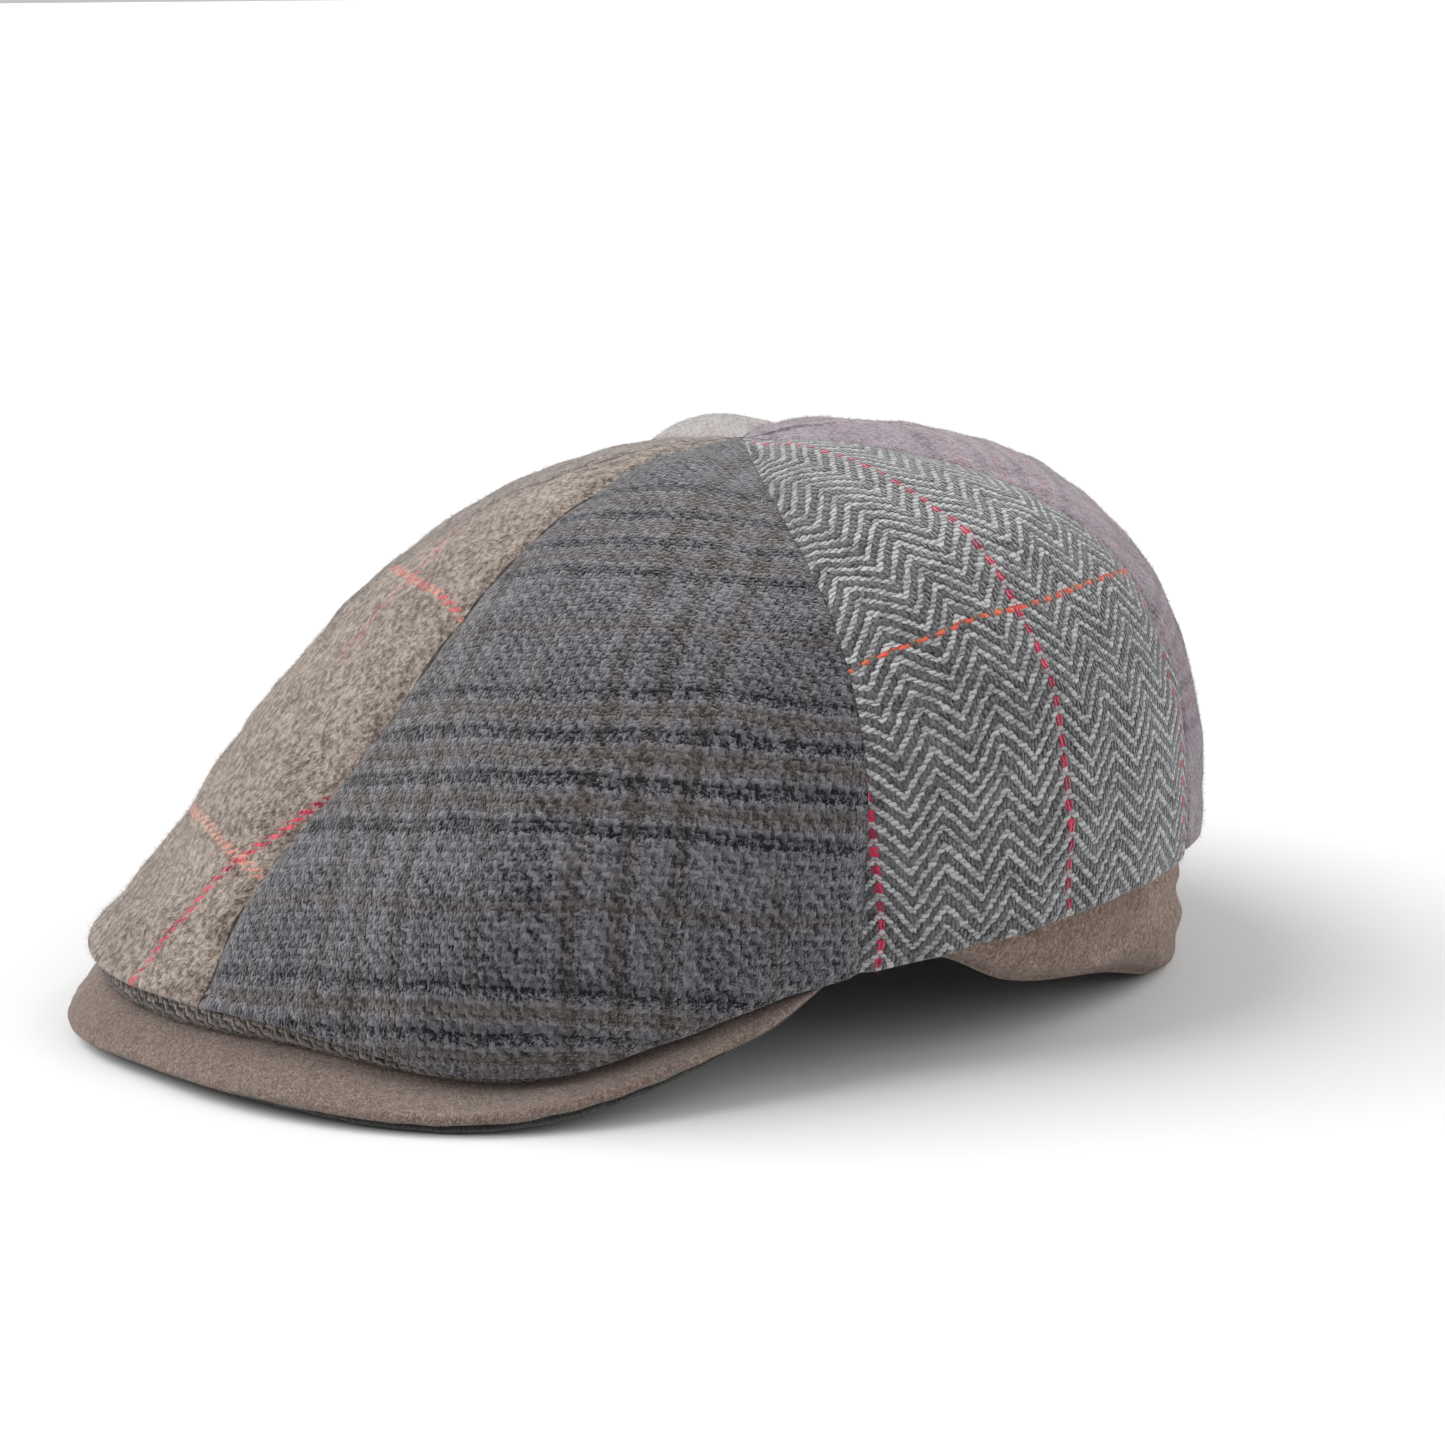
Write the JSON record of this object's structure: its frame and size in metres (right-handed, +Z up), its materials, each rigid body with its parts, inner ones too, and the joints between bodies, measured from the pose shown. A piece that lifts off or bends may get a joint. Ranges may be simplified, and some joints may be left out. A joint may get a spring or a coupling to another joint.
{
  "type": "flat cap",
  "caption": "Patchwork woollen flat cap in duckbill shape: panelled crown, low band at the back, recessed welt and a curved stiff peak.",
  "frame": {"origin": "centre of the cap's box, on the surface that it rests on", "axes": "+Z up, -Y towards the peak, +X towards the wearer's left"},
  "size_m": [0.184, 0.2429, 0.1145],
  "materials": {
    "taupe_tweed": "brushed woollen tweed, taupe, with thin crimson and salmon check lines",
    "navy_plaid": "blue-grey woollen plaid with dark band groups and faint brown stripes",
    "herringbone": "black, grey and white herringbone wool with crimson and orange lines",
    "mauve_plaid": "mauve woollen plaid",
    "pale_wool": "pale grey wool",
    "taupe_check": "grey-taupe woollen check",
    "band_wool": "plain taupe-brown wool",
    "welt_herringbone": "taupe herringbone wool with light flecks",
    "peak_wool": "brown brushed wool",
    "peak_lining": "dark green-grey cloth"
  },
  "bodies": {
    "root": {"front_panel": "taupe_tweed", "left_front_panel": "navy_plaid", "left_rear_panel": "herringbone", "rear_panel": "mauve_plaid", "right_rear_panel": "pale_wool", "right_front_panel": "taupe_check", "rear_band": "band_wool", "front_welt": "welt_herringbone", "peak_top": "peak_wool", "peak_underside": "peak_lining"}
  },
  "joints": []
}
